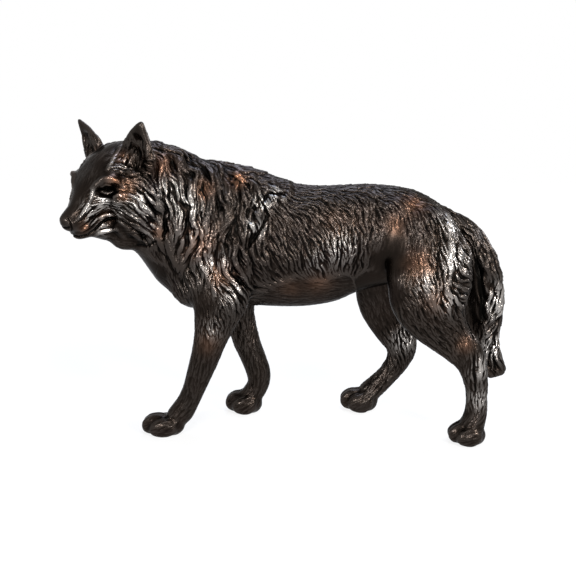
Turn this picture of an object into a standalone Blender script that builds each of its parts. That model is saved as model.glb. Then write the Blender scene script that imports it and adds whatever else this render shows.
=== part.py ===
"""Walking wild dog, half fox and half wolf: a garden statue cast in one piece.

Metres, +Z up. The animal walks towards -X, its left side is towards -Y, and its head is
turned to its left. The origin lies on the ground, midway under the statue.
"""
import math
from dataclasses import dataclass

import bmesh
import bpy
import numpy as np
from mathutils import Matrix, Vector
from mathutils.bvhtree import BVHTree

MM = 0.001
PATINA_COLOUR = (0.030, 0.018, 0.012, 1.0)

# Driving sizes, in millimetres: heights above the ground
WITHERS_HEIGHT = 429.0
BACK_HEIGHT = 402.0
LOIN_HEIGHT = 399.0
CROUP_HEIGHT = 391.0
BRISKET_HEIGHT = 197.0
FLANK_HEIGHT = 232.0
NAPE_HEIGHT = 455.0
EYE_HEIGHT = 401.0

# Driving sizes, in millimetres: widths across the animal
CHEST_WIDTH = 126.0
LOIN_WIDTH = 104.0
RUMP_WIDTH = 96.0
NECK_WIDTH = 116.0
FORE_TRACK = 102.0
HIND_TRACK = 136.0

# Driving sizes, in millimetres and degrees: head
HEAD_TURN = 52.0
HEAD_DROP = 18.5
EYE_MIDDLE = (-294.0, -55.0)
EYE_SPREAD = 74.0
EYE_SIZE = 17.0
SKULL_WIDTH = 98.0
MUZZLE_WIDTH = 36.0
MUZZLE_LENGTH = 72.0
EAR_HEIGHT = 68.0
EAR_WIDTH = 62.0
EAR_LEAN = 25.0
EAR_WALL = 6.0
EAR_SPREAD = 101.0

# Driving sizes, in millimetres: feet and tail
PAW_WIDTH = 50.0
TOE_WIDTH = 15.5
TAIL_WIDTH = 44.0
TAIL_TIP_HEIGHT = 92.0

# Driving sizes, in millimetres: carving and the mesh that carries it
BODY_GRAIN = 4.0
HEAD_GRAIN = 3.0
CARVING_GRAIN = 2.2
SOLE_DEPTH = 3.0
FACE_COUNT = 11500
SLIVER = 0.05
TORSO_ROUNDS = 40
TORSO_HEIGHT = 215.0
TORSO_FRONT = -345.0
TORSO_FADE = 40.0

# The rear edge of the cape of long fur, in x and z from the elbow up to the spine
CAPE_EDGE = ((-55, 225), (-52, 245), (-62, 270), (-72, 300), (-62, 325), (-44, 350), (-28, 371), (4, 393))
CAPE_HEIGHT = 3.0
CAPE_STEP = 2.5
CAPE_LOW = 205.0
CAPE_FRONT = -235.0

# Folds of the cape, the thigh and the tail, each a line in x and z, a width and a height
SIDE_FOLDS = (
    (((-206, 460), (-203, 440), (-208, 418), (-202, 398)), 16, 4.0),
    (((-192, 464), (-186, 443), (-188, 420), (-178, 400)), 17, 4.5),
    (((-178, 408), (-168, 384), (-156, 360), (-162, 336), (-158, 318)), 17, 5.5),
    (((-172, 460), (-165, 438), (-160, 418), (-148, 398)), 17, 4.5),
    (((-140, 412), (-147, 384), (-143, 360), (-136, 338), (-142, 316)), 17, 6.0),
    (((-153, 448), (-133, 416), (-119, 393), (-110, 370), (-121, 350), (-128, 328)), 18, 6.5),
    (((-130, 446), (-114, 414), (-104, 392), (-96, 372)), 16, 5.0),
    (((-106, 432), (-94, 410), (-86, 392), (-92, 366), (-84, 344)), 17, 5.0),
    (((-84, 428), (-74, 406), (-64, 388), (-72, 364), (-66, 344)), 17, 5.0),
    (((-60, 424), (-52, 404), (-44, 384), (-40, 362), (-52, 338), (-66, 320)), 17, 5.5),
    (((-34, 412), (-20, 396), (-16, 378), (-32, 366)), 15, 4.5),
    (((0, 402), (4, 390), (-8, 374)), 13, 4.0),
    (((-100, 360), (-108, 332), (-118, 306), (-138, 290), (-142, 270)), 17, 5.5),
    (((-94, 336), (-102, 306), (-97, 280), (-84, 258), (-70, 234)), 18, 6.0),
    (((-76, 330), (-80, 304), (-74, 280), (-62, 258), (-52, 238)), 16, 5.0),
    (((-60, 308), (-62, 286), (-54, 264), (-44, 246)), 14, 4.0),
    (((-128, 306), (-130, 284), (-120, 262), (-108, 240)), 16, 4.5),
    (((-176, 336), (-180, 310), (-170, 286), (-160, 266)), 15, 4.5),
    (((-192, 378), (-188, 352), (-196, 328), (-188, 306)), 15, 4.5),
    (((-160, 300), (-158, 276), (-148, 254), (-140, 236)), 15, 4.0),
    (((250, 326), (262, 306), (256, 286), (266, 266)), 13, 3.5),
    (((266, 322), (275, 300), (268, 278), (277, 254)), 13, 3.5),
    (((246, 290), (258, 268), (252, 246), (264, 226)), 13, 3.5),
    (((262, 250), (270, 232), (262, 214), (272, 194)), 12, 3.5),
    (((234, 268), (246, 246), (242, 224), (252, 204)), 12, 3.0),
    (((254, 352), (276, 332), (296, 306)), 13, 3.0),
    (((276, 330), (296, 308), (312, 280)), 13, 3.5),
    (((290, 306), (302, 282), (316, 254)), 12, 3.5),
    (((304, 282), (320, 262), (336, 230)), 13, 3.5),
    (((298, 262), (310, 238), (322, 214)), 12, 3.5),
    (((310, 242), (324, 222), (340, 186)), 13, 3.5),
    (((300, 226), (310, 204), (322, 182)), 12, 3.5),
    (((312, 206), (324, 188), (338, 156)), 12, 3.5),
    (((306, 190), (314, 168), (322, 146)), 12, 3.0),
    (((314, 170), (324, 150), (334, 126)), 11, 3.0),
    (((314, 146), (318, 120), (322, 94)), 11, 3.0),
    (((328, 148), (334, 122), (347, 96)), 11, 3.0),
)


@dataclass(frozen=True)
class Oval:
    """One oval section of a form: its middle, its size from front to back or top to bottom,
    its width across, and how much its lower half narrows to a keel."""

    x: float
    y: float
    z: float
    depth: float
    width: float
    keel: float = 0.0


def through(rows, steps):
    """Rows of numbers interpolated by a curve that passes through every given row."""
    rows = np.array(rows, float)
    padded = np.vstack([2 * rows[0] - rows[1], rows, 2 * rows[-1] - rows[-2]])
    curve = []
    for index in range(len(rows) - 1):
        before, start, end, after = padded[index:index + 4]
        for step in range(steps):
            t = step / steps
            curve.append(0.5 * (2 * start + (end - before) * t
                                + (2 * before - 5 * start + 4 * end - after) * t ** 2
                                + (3 * start - before - 3 * end + after) * t ** 3))
    curve.append(rows[-1])
    return np.array(curve)


def add_piece(form, piece):
    """Move the faces of one bmesh into another."""
    data = bpy.data.meshes.new("piece")
    piece.to_mesh(data)
    piece.free()
    form.from_mesh(data)
    bpy.data.meshes.remove(data)


def loft(form, ovals, across=(0.0, 1.0, 0.0), place=None, sides=20, steps=4):
    """Add to a bmesh a closed tube that passes through the oval sections."""
    rows = through([(o.x, o.y, o.z, o.depth, o.width, o.keel) for o in ovals], steps)
    middles = [Vector(row[:3]) for row in rows]
    loops = []
    piece = bmesh.new()
    for index, row in enumerate(rows):
        ahead = middles[min(index + 1, len(rows) - 1)]
        behind = middles[max(index - 1, 0)]
        along = (ahead - behind).normalized()
        side = Vector(across)
        side = (side - along * side.dot(along)).normalized()
        upright = along.cross(side)
        ring = bmesh.ops.create_circle(piece, cap_ends=False, radius=1.0, segments=sides)["verts"]
        for vert in ring:
            high, wide = vert.co.x, vert.co.y
            wide *= 1.0 - row[5] * max(0.0, -high) ** 1.5
            vert.co = middles[index] + upright * high * row[3] / 2 + side * wide * row[4] / 2
            if place:
                vert.co = place @ vert.co
        loops.append(list({edge for vert in ring for edge in vert.link_edges}))
    for near, far in zip(loops, loops[1:]):
        bmesh.ops.bridge_loops(piece, edges=near + far)
    for end in (loops[0], loops[-1]):
        bmesh.ops.holes_fill(piece, edges=end, sides=0)
    bmesh.ops.recalc_face_normals(piece, faces=piece.faces)
    add_piece(form, piece)


def mass(form, middle, radii, place=None, tilt=0.0, turn=0.0):
    """Add to a bmesh an egg with the given middle and half sizes, tilted about Y and turned about Z."""
    frame = Matrix.Translation(Vector(middle)) @ Matrix.Rotation(math.radians(turn), 4, "Z")
    frame = frame @ Matrix.Rotation(math.radians(tilt), 4, "Y") @ Matrix.Diagonal((*radii, 1.0))
    if place:
        frame = place @ frame
    bmesh.ops.create_icosphere(form, subdivisions=3, radius=1.0, matrix=frame)


def head_place():
    """Matrix of the head: X towards the nose, Y to the animal's left, Z up, from between the eyes."""
    return (Matrix.Translation((EYE_MIDDLE[0], EYE_MIDDLE[1], EYE_HEIGHT))
            @ Matrix.Rotation(math.radians(180.0 + HEAD_TURN), 4, "Z")
            @ Matrix.Rotation(math.radians(HEAD_DROP), 4, "Y"))


def add_trunk(form):
    """Rib cage, belly, loin and rump."""
    def station(x, top, bottom, width, keel):
        return Oval(x, 0.0, (top + bottom) / 2, top - bottom, width, keel)

    loft(form, (
        station(-178, WITHERS_HEIGHT - 90, BRISKET_HEIGHT + 18, CHEST_WIDTH - 70, 0.0),
        station(-156, WITHERS_HEIGHT - 44, BRISKET_HEIGHT - 7, CHEST_WIDTH - 34, 0.1),
        station(-120, WITHERS_HEIGHT - 16, BRISKET_HEIGHT - 3, CHEST_WIDTH - 12, 0.25),
        station(-82, WITHERS_HEIGHT - 5, BRISKET_HEIGHT - 1, CHEST_WIDTH, 0.3),
        station(-44, WITHERS_HEIGHT - 18, BRISKET_HEIGHT + 4, CHEST_WIDTH + 2, 0.3),
        station(3, BACK_HEIGHT - 3, BRISKET_HEIGHT + 3, CHEST_WIDTH, 0.3),
        station(50, BACK_HEIGHT - 4, BRISKET_HEIGHT + 9, CHEST_WIDTH - 6, 0.25),
        station(92, LOIN_HEIGHT, FLANK_HEIGHT - 8, LOIN_WIDTH + 6, 0.2),
        station(143, LOIN_HEIGHT + 1, FLANK_HEIGHT + 4, LOIN_WIDTH, 0.1),
        station(190, CROUP_HEIGHT + 1, FLANK_HEIGHT + 16, LOIN_WIDTH + 4, 0.1),
        station(232, CROUP_HEIGHT - 21, FLANK_HEIGHT + 34, RUMP_WIDTH + 8, 0.1),
        station(258, CROUP_HEIGHT - 38, FLANK_HEIGHT + 54, RUMP_WIDTH - 28, 0.1),
        station(270, CROUP_HEIGHT - 54, FLANK_HEIGHT + 74, RUMP_WIDTH - 58, 0.0),
    ), sides=28)


def add_neck(form):
    """Neck, throat and breast, with the thick fur that joins the neck to the back of the cheeks."""
    loft(form, (
        Oval(-70, 0, WITHERS_HEIGHT - 116, 150, NECK_WIDTH - 50, 0.1),
        Oval(-92, 0, WITHERS_HEIGHT - 113, 196, NECK_WIDTH - 14, 0.1),
        Oval(-118, 0, WITHERS_HEIGHT - 113, 222, NECK_WIDTH - 2, 0.2),
        Oval(-150, -1, WITHERS_HEIGHT - 92, 219, NECK_WIDTH, 0.25),
        Oval(-179, -4, NAPE_HEIGHT - 98, 189, NECK_WIDTH, 0.25),
        Oval(-205, -5, NAPE_HEIGHT - 78, 168, NECK_WIDTH - 6, 0.2),
        Oval(-231, -9, NAPE_HEIGHT - 73, 165, NECK_WIDTH - 14, 0.2),
        Oval(-251, -16, NAPE_HEIGHT - 76, 160, NECK_WIDTH - 26, 0.15),
        Oval(-268, -28, NAPE_HEIGHT - 86, 130, NECK_WIDTH - 44, 0.1),
    ), sides=28)
    mass(form, (-253, -34, NAPE_HEIGHT - 134), (26, 26, 26))
    mass(form, (-148, -4, BRISKET_HEIGHT + 40), (38, 46, 38))
    for side in (-1, 1):
        mass(form, (-72, side * SKULL_WIDTH * 0.42, -34), (50, 35, 47), place=head_place())


def add_shoulders(form):
    """Shoulder blades, upper arms, thighs and the points of the hips, under the skin."""
    for side, elbow in ((-1, -110), (1, -84)):
        mass(form, (-100, side * 33, 322), (44, 28, 80), tilt=14)
        mass(form, (elbow - 4, side * (FORE_TRACK / 2 - 12), 246), (44, 25, 50), tilt=-16)
    for side, stifle in ((-1, 178), (1, 140)):
        mass(form, (212, side * 33, 334), (40, 24, 42), tilt=-20)
        mass(form, (stifle + 34, side * (HIND_TRACK / 2 - 24), 300), (58, 27, 66), tilt=-16)
        mass(form, (166, side * (LOIN_WIDTH / 2 - 10), 372), (16, 10, 11), tilt=20)


def leg(form, track, ovals):
    """A leg whose ovals are given relative to the line that its paw walks on."""
    loft(form, [Oval(o.x, track + o.y, o.z, o.depth, o.width) for o in ovals])


def add_left_foreleg(form):
    """The leg that reaches forward, almost straight."""
    leg(form, -FORE_TRACK / 2, (
        Oval(-104, 16, 270, 60, 30), Oval(-104, 10, 244, 84, 44), Oval(-105, 6, 222, 88, 48),
        Oval(-111, 3, 194, 71, 45), Oval(-120, 1, 160, 54, 40), Oval(-128, 1, 132, 48, 37),
        Oval(-137, 0, 107, 43, 36), Oval(-146, 0, 82, 38, 33), Oval(-155, 0, 60, 36, 33),
        Oval(-168, 0, 38, 40, 37), Oval(-182, 0, 24, 36, 40),
    ))


def add_right_foreleg(form):
    """The leg that trails, bent at the wrist."""
    leg(form, FORE_TRACK / 2, (
        Oval(-92, -16, 270, 60, 30), Oval(-88, -10, 244, 78, 42), Oval(-84, -6, 215, 68, 44),
        Oval(-84, -3, 184, 52, 40), Oval(-79, -1, 152, 49, 37), Oval(-71, 0, 122, 46, 35),
        Oval(-60, 0, 94, 44, 34), Oval(-52, 0, 71, 43, 35), Oval(-52, 0, 50, 38, 33),
        Oval(-62, 0, 34, 38, 36), Oval(-72, 0, 24, 34, 38),
    ))


def add_left_hindleg(form):
    """The leg that pushes off behind, with the heel tendon standing clear of the shin."""
    leg(form, -HIND_TRACK / 2, (
        Oval(224, 34, 345, 60, 28), Oval(224, 24, 318, 104, 48), Oval(222, 14, 286, 124, 60),
        Oval(217, 6, 250, 132, 64), Oval(222, 3, 218, 114, 57), Oval(236, 2, 192, 86, 45),
        Oval(256, 1, 168, 64, 37), Oval(278, 0, 147, 56, 33), Oval(289, 0, 124, 46, 31),
        Oval(295, 0, 98, 38, 29), Oval(297, 0, 70, 35, 30), Oval(296, 0, 45, 38, 35),
        Oval(289, 0, 26, 40, 40),
    ))


def add_right_hindleg(form):
    """The leg that is set down under the belly, well bent at the hock."""
    leg(form, HIND_TRACK / 2, (
        Oval(212, -34, 345, 60, 28), Oval(200, -24, 318, 100, 48), Oval(184, -14, 286, 118, 60),
        Oval(168, -5, 254, 118, 62), Oval(158, -3, 222, 104, 57), Oval(157, -1, 190, 88, 46),
        Oval(166, 0, 162, 74, 38), Oval(180, 0, 138, 65, 34), Oval(190, 0, 112, 52, 33),
        Oval(182, 0, 86, 41, 30), Oval(166, 0, 63, 36, 31), Oval(146, 0, 42, 38, 36),
        Oval(130, 0, 28, 38, 40),
    ))


def add_paw(form, heel, toe, track, top):
    """A foot of one pad and four toes, from the x of its heel to the x of its longest toe."""
    length = heel - toe
    low = -SOLE_DEPTH
    mass(form, (heel - 0.36 * length, track, (top + low) * 0.42),
         (0.35 * length, PAW_WIDTH * 0.40, (top - low) * 0.44))
    for slot, reach, lift in ((-1.5, 0.80, 0.84), (-0.5, 1.0, 0.96), (0.5, 1.0, 0.96), (1.5, 0.80, 0.84)):
        across = track + slot * (PAW_WIDTH - TOE_WIDTH) / 3
        tip = heel - reach * length
        peak = top * lift
        loft(form, (
            Oval(tip + 0.62 * length, across, peak * 0.52, peak * 0.60, TOE_WIDTH * 0.8),
            Oval(tip + 0.46 * length, across, peak * 0.52, peak * 0.96, TOE_WIDTH),
            Oval(tip + 0.29 * length, across, peak * 0.48, peak * 1.06, TOE_WIDTH * 1.05),
            Oval(tip + 0.15 * length, across, peak * 0.40, peak * 0.92, TOE_WIDTH),
            Oval(tip + 0.05 * length, across, peak * 0.28, peak * 0.62, TOE_WIDTH * 0.75),
            Oval(tip, across, peak * 0.22, peak * 0.28, TOE_WIDTH * 0.35),
        ), sides=12, steps=3)


def add_tail(form):
    """A bushy tail that hangs down behind the rump and ends in a square brush."""
    drop = TAIL_TIP_HEIGHT
    loft(form, (
        Oval(222, 0, 350, 40, TAIL_WIDTH - 10), Oval(262, 0, 332, 44, TAIL_WIDTH - 4),
        Oval(290, 0, 303, 50, TAIL_WIDTH), Oval(304, 0, 268, 58, TAIL_WIDTH + 2),
        Oval(309, 0, 232, 66, TAIL_WIDTH), Oval(311, 0, 196, 66, TAIL_WIDTH - 4),
        Oval(315, 0, 160, 50, TAIL_WIDTH - 10), Oval(323, 0, drop + 48, 34, TAIL_WIDTH - 16),
        Oval(329, 0, drop + 24, 34, TAIL_WIDTH - 12), Oval(334, 0, drop, 40, TAIL_WIDTH - 8),
    ))


def add_skull(form, head):
    """Skull, muzzle, jaw, brows and cheekbones, in the head's own axes."""
    nose = MUZZLE_LENGTH
    loft(form, (
        Oval(-100, 0, -10, 74, SKULL_WIDTH - 30), Oval(-68, 0, -4, 94, SKULL_WIDTH - 2),
        Oval(-40, 0, -4, 93, SKULL_WIDTH + 6), Oval(-15, 0, -8, 81, SKULL_WIDTH + 6),
        Oval(3, 0, -13, 62, SKULL_WIDTH - 6), Oval(16, 0, -20, 51, MUZZLE_WIDTH + 30),
        Oval(33, 0, -27, 42, MUZZLE_WIDTH + 10), Oval(nose - 21, 0, -31, 36, MUZZLE_WIDTH + 2),
        Oval(nose - 9, 0, -32, 31, MUZZLE_WIDTH - 3), Oval(nose - 2, 0, -32, 22, MUZZLE_WIDTH - 12),
    ), place=head)
    loft(form, (
        Oval(-70, 0, -64, 96, SKULL_WIDTH - 24), Oval(-38, 0, -68, 92, SKULL_WIDTH - 28),
        Oval(-10, 0, -62, 74, MUZZLE_WIDTH + 24), Oval(14, 0, -58, 50, MUZZLE_WIDTH + 10),
        Oval(32, 0, -56, 30, MUZZLE_WIDTH - 1), Oval(nose - 22, 0, -55, 23, MUZZLE_WIDTH - 6),
        Oval(nose - 13, 0, -54, 15, MUZZLE_WIDTH - 14),
    ), place=head)
    mass(form, (nose - 6, 0, -26), (8, 11, 8.5), place=head)
    for side in (-1, 1):
        eye = side * EYE_SPREAD / 2
        mass(form, (-10, eye * 0.98, 8), (17, 17, 9), place=head, turn=side * 30, tilt=-10)
        mass(form, (-9, side * 43, -19), (22, 13, 13), place=head, turn=side * 26)
        mass(form, (nose - 26, side * 12, -38), (23, 10, 10), place=head, turn=-side * 6)
        mass(form, (-34, side * SKULL_WIDTH * 0.50, -34), (34, 22, 34), place=head, turn=side * 30)
        mass(form, (-18, side * SKULL_WIDTH * 0.38, -48), (22, 17, 22), place=head)


def add_ears(form, head):
    """Two upright ears, each a pointed shell that opens forwards and leans outwards."""
    rows = ((-0.42, 0.40, 1.5), (-0.16, 0.74, 1.3), (0.06, 0.95, 1.0), (0.25, 1.0, 0.85), (0.4, 0.96, 0.74),
            (0.54, 0.80, 0.64), (0.72, 0.55, 0.54), (0.87, 0.32, 0.46), (0.96, 0.15, 0.38), (1.0, 0.06, 0.28))
    for side in (-1, 1):
        ovals = []
        for reach, width, depth in rows:
            spread = EAR_SPREAD / 2 + EAR_LEAN * reach * abs(reach)
            ovals.append(Oval(-58 - 7 * reach, side * spread, 11 + EAR_HEIGHT * reach,
                              depth * EAR_WALL * 3, width * EAR_WIDTH))
        loft(form, ovals, across=(-side * 0.1, 1.0, 0.0), place=head, sides=16)


def add_cheek_locks(form, head):
    """Pointed locks of the ruff, which fan out backwards and outwards from under the eye."""
    half = SKULL_WIDTH / 2
    fans = (
        ((-34, half + 2, 16), (-49, half + 36, -34), 17), ((-22, half, 4), (-46, half + 38, -52), 19),
        ((-14, half, -12), (-41, half + 34, -65), 21), ((-9, half - 2, -26), (-35, half + 28, -77), 21),
        ((-6, half - 6, -38), (-28, half + 19, -88), 20), ((-4, half - 12, -48), (-16, half + 5, -94), 19),
        ((2, half - 20, -56), (-8, half - 12, -92), 17),
    )
    for side in (-1, 1):
        flip = Vector((1, side, 1))
        for start, end, width in fans:
            start, end = Vector(start) * flip, Vector(end) * flip
            outward = Vector((0.25, side, 0.12)).normalized()
            across = (end - start).cross(outward)
            bulge = start.lerp(end, 0.36) + outward * 3.0
            late = start.lerp(end, 0.72) + outward * 2.0
            loft(form, (
                Oval(*start, 14, width * 0.8), Oval(*bulge, 20, width),
                Oval(*late, 14, width * 0.72), Oval(*end, 4, width * 0.2),
            ), across=across, place=head, sides=12)


def sink(points, normals, middle, radius, depth):
    """Push the skin inwards in a soft round hollow."""
    gap = np.linalg.norm(points - np.array(middle), axis=1) / radius
    hollow = np.where(gap < 1.0, (1.0 - gap ** 2) ** 2, 0.0)
    return points - normals * (depth * hollow)[:, None]


def remeshed(form, name, grain, rounds, torso_rounds=0):
    """Fuse everything in a bmesh into one skin of even grain, and soften where forms meet."""
    data = bpy.data.meshes.new(name)
    form.to_mesh(data)
    form.free()
    helper = bpy.data.objects.new(name, data)
    bpy.context.scene.collection.objects.link(helper)
    fuse = helper.modifiers.new("fuse", "REMESH")
    fuse.mode = "VOXEL"
    fuse.voxel_size = grain
    result = evaluated_mesh(helper)
    helper.data = result
    helper.modifiers.clear()
    if torso_rounds:
        torso = helper.vertex_groups.new(name="torso")
        for vert in result.vertices:
            weight = min(1.0, max(0.0, (vert.co.z - TORSO_HEIGHT) / TORSO_FADE))
            weight *= min(1.0, max(0.0, (vert.co.x - TORSO_FRONT) / TORSO_FADE))
            torso.add((vert.index,), weight, "REPLACE")
        blend = helper.modifiers.new("blend", "SMOOTH")
        blend.factor = 0.5
        blend.iterations = torso_rounds
        blend.vertex_group = torso.name
    soften = helper.modifiers.new("soften", "SMOOTH")
    soften.factor = 0.5
    soften.iterations = rounds
    softened = evaluated_mesh(helper)
    bpy.data.objects.remove(helper)
    return softened


def evaluated_mesh(thing):
    """The mesh of an object as its modifiers leave it."""
    return bpy.data.meshes.new_from_object(thing.evaluated_get(bpy.context.evaluated_depsgraph_get()))


def arrays(mesh):
    """The points of a mesh and their outward normals, as two arrays."""
    points = np.empty(len(mesh.vertices) * 3)
    mesh.vertices.foreach_get("co", points)
    normals = np.empty(len(mesh.vertices) * 3)
    mesh.vertices.foreach_get("normal", normals)
    return points.reshape(-1, 3), normals.reshape(-1, 3)


def ridge(points, normals, path, facing, width, height):
    """Height at each point of one raised lock that follows a path and tapers to both ends."""
    lift = np.zeros(len(points))
    low = path.min(axis=0) - width
    high = path.max(axis=0) + width
    near = np.nonzero(np.all((points > low) & (points < high), axis=1) & (normals @ facing > 0.15))[0]
    if not len(near):
        return lift
    starts, steps = path[:-1], path[1:] - path[:-1]
    spans = (steps ** 2).sum(axis=1)
    offset = points[near, None, :] - starts[None]
    share = np.clip((offset * steps[None]).sum(axis=2) / spans[None], 0.0, 1.0)
    gap = np.linalg.norm(offset - share[..., None] * steps[None], axis=2)
    best = gap.argmin(axis=1)
    rows = np.arange(len(near))
    run = (best + share[rows, best]) / len(spans)
    taper = np.sin(np.pi * np.clip(0.08 + 0.86 * run, 0.0, 1.0)) ** 0.6
    across = gap[rows, best] / (width / 2 * (0.45 + 0.55 * taper))
    bump = np.where(across < 1.0, 0.5 + 0.5 * np.cos(np.pi * np.clip(across, 0, 1)), 0.0)
    valley = np.where((across >= 1.0) & (across < 1.7), -0.30 * np.sin(np.pi * (across - 1.0) / 0.7), 0.0)
    lift[near] = height * taper * (bump + valley)
    return lift


def laid_on_side(skin_tree, line, side):
    """A line drawn in the side view, in x and z, laid on the left (-1) or right (+1) of the skin."""
    laid = []
    for x, z in through(line, 4):
        hit = skin_tree.ray_cast(Vector((x, side * 400.0, z)), Vector((0.0, -side, 0.0)))[0]
        if hit:
            laid.append(hit)
    return np.array(laid)


def carve(mesh, head):
    """Raise the cape's edge and the large locks of the mane, thighs and tail."""
    points, normals = arrays(mesh)
    form = bmesh.new()
    form.from_mesh(mesh)
    skin_tree = BVHTree.FromBMesh(form)
    form.free()
    lift = np.zeros(len(points))
    edge = np.array(CAPE_EDGE)
    line = np.interp(points[:, 2], edge[:, 1], edge[:, 0])
    inside = 1.0 / (1.0 + np.exp(np.clip((points[:, 0] - line) / CAPE_STEP, -30, 30)))
    inside *= np.clip((points[:, 2] - CAPE_LOW) / 30.0, 0.0, 1.0)
    inside *= np.clip((points[:, 0] - CAPE_FRONT) / 30.0, 0.0, 1.0)
    lift += CAPE_HEIGHT * inside
    folds = np.zeros(len(points))
    for side in (-1, 1):
        facing = np.array((0.0, side, 0.0))
        for line, width, height in SIDE_FOLDS:
            path = laid_on_side(skin_tree, line, side)
            if len(path) > 1:
                one = ridge(points, normals, path, facing, width, height)
                folds = np.where(np.abs(one) > np.abs(folds), one, folds)
    points = points + normals * (lift + folds)[:, None]
    for side in (-1, 1):
        inner = head @ Vector((12, side * EYE_SPREAD * 0.38, -4))
        points = sink(points, normals, inner, EYE_SIZE * 0.9, 6.0)
        outer = head @ Vector((2, side * EYE_SPREAD * 0.54, -3))
        points = sink(points, normals, outer, EYE_SIZE * 0.9, 4.5)
        for reach in (0.22, 0.42, 0.6):
            spread = EAR_SPREAD / 2 + EAR_LEAN * reach ** 2
            cup = head @ Vector((-50 - 7 * reach, side * spread, 11 + EAR_HEIGHT * reach))
            points = sink(points, normals, cup, EAR_WIDTH * (0.40 - 0.2 * reach), EAR_WALL * 0.8)
    mesh.vertices.foreach_set("co", points.ravel())
    mesh.update()


def thinned(mesh):
    """The mesh with its faces reduced to the wanted count, most of them kept where it is carved."""
    helper = bpy.data.objects.new("thinned", mesh)
    bpy.context.scene.collection.objects.link(helper)
    relax = helper.modifiers.new("relax", "SMOOTH")
    relax.factor = 0.5
    relax.iterations = 2
    thin = helper.modifiers.new("thin", "DECIMATE")
    thin.ratio = FACE_COUNT / sum(len(face.vertices) - 2 for face in mesh.polygons)
    result = evaluated_mesh(helper)
    bpy.data.objects.remove(helper)
    return result


def stand_on_ground(mesh):
    """Cut the paws flat at the ground, and put the origin midway under the statue, in metres."""
    form = bmesh.new()
    form.from_mesh(mesh)
    everything = form.verts[:] + form.edges[:] + form.faces[:]
    bmesh.ops.bisect_plane(form, geom=everything, plane_no=(0.0, 0.0, -1.0), clear_outer=True)
    bmesh.ops.holes_fill(form, edges=[edge for edge in form.edges if edge.is_boundary], sides=0)
    bmesh.ops.dissolve_degenerate(form, edges=form.edges[:], dist=SLIVER)
    bmesh.ops.triangulate(form, faces=form.faces[:])
    low = [min(vert.co[axis] for vert in form.verts) for axis in range(3)]
    high = [max(vert.co[axis] for vert in form.verts) for axis in range(3)]
    middle = Vector(((low[0] + high[0]) / 2, (low[1] + high[1]) / 2, 0.0))
    bmesh.ops.transform(form, matrix=Matrix.Scale(MM, 4) @ Matrix.Translation(-middle), verts=form.verts)
    form.to_mesh(mesh)
    form.free()


def bronze():
    """Dark brown patina on cast bronze."""
    material = bpy.data.materials.new("patinated_bronze")
    material.use_nodes = True
    shader = material.node_tree.nodes["Principled BSDF"]
    shader.inputs["Base Color"].default_value = PATINA_COLOUR
    shader.inputs["Roughness"].default_value = 0.34
    shader.inputs["Metallic"].default_value = 0.7
    return material


def main():
    """Build the statue."""
    for old in list(bpy.data.objects):
        bpy.data.objects.remove(old)
    head = head_place()
    form = bmesh.new()
    for add in (add_trunk, add_neck, add_shoulders, add_left_foreleg, add_right_foreleg,
                add_left_hindleg, add_right_hindleg):
        add(form)
    body = remeshed(form, "body", BODY_GRAIN, 3, TORSO_ROUNDS)

    form = bmesh.new()
    form.from_mesh(body)
    add_skull(form, head)
    add_tail(form)
    body = remeshed(form, "headed body", HEAD_GRAIN, 5)

    form = bmesh.new()
    form.from_mesh(body)
    add_ears(form, head)
    add_cheek_locks(form, head)
    add_paw(form, -163, -231, -FORE_TRACK / 2, 36)
    add_paw(form, -45, -106, FORE_TRACK / 2, 39)
    add_paw(form, 315, 257, -HIND_TRACK / 2, 36)
    add_paw(form, 152, 90, HIND_TRACK / 2, 41)
    skin = remeshed(form, "skin", CARVING_GRAIN, 2)
    carve(skin, head)

    casting = thinned(skin)
    stand_on_ground(casting)
    casting.materials.append(bronze())
    casting.shade_smooth()
    casting.set_sharp_from_angle(angle=math.radians(60.0))
    statue = bpy.data.objects.new("fox_casting", casting)
    group = bpy.data.collections.new("walking_fox_statue")
    bpy.context.scene.collection.children.link(group)
    group.objects.link(statue)


main()
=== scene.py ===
"""Fox garden statue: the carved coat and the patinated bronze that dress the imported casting.

Metres, +Z up. The animal walks towards -X and its left side, which the camera sees, is
towards -Y. The coat is carved into a copy of the casting: locks and hairs follow guides laid
down on the near side by their place in the photograph, and are mirrored to the far side.
"""
import logging
import math
from dataclasses import dataclass, field, replace
from enum import Enum
from typing import Iterator, Optional, Sequence, TypeVar

import bmesh
import bpy
import numpy as np
from mathutils import Matrix, Vector
from mathutils.bvhtree import BVHTree
from mathutils.kdtree import KDTree


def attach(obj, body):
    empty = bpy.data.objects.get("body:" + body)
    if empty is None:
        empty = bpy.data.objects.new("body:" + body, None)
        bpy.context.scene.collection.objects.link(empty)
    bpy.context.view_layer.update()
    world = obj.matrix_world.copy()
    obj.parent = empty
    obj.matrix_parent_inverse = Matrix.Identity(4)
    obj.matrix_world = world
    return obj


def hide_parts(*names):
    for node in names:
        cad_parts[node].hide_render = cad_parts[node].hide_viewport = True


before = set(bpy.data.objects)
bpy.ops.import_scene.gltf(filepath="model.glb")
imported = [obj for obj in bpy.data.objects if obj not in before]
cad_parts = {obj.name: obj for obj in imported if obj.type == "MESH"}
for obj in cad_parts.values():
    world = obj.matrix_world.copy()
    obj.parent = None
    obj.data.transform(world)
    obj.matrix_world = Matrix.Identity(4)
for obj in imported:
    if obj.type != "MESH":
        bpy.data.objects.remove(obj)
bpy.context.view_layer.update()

LOG = logging.getLogger("fox_garden_statue")
CASTING = "fox_casting"

MM = 0.001
PHOTO_SIDE = 576
WHITE = (1.0, 1.0, 1.0, 1.0)
SEED = 41

# A point in the photograph in pixels, one in space in metres, a line through points in the
# photograph, a plane by a point and its direction, and whatever is laid down by its pixel
Pixel = tuple[float, float]
Place = tuple[float, float, float]
Line = Sequence[Pixel]
Cut = tuple[Place, Place]
Mark = TypeVar("Mark")


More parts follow.
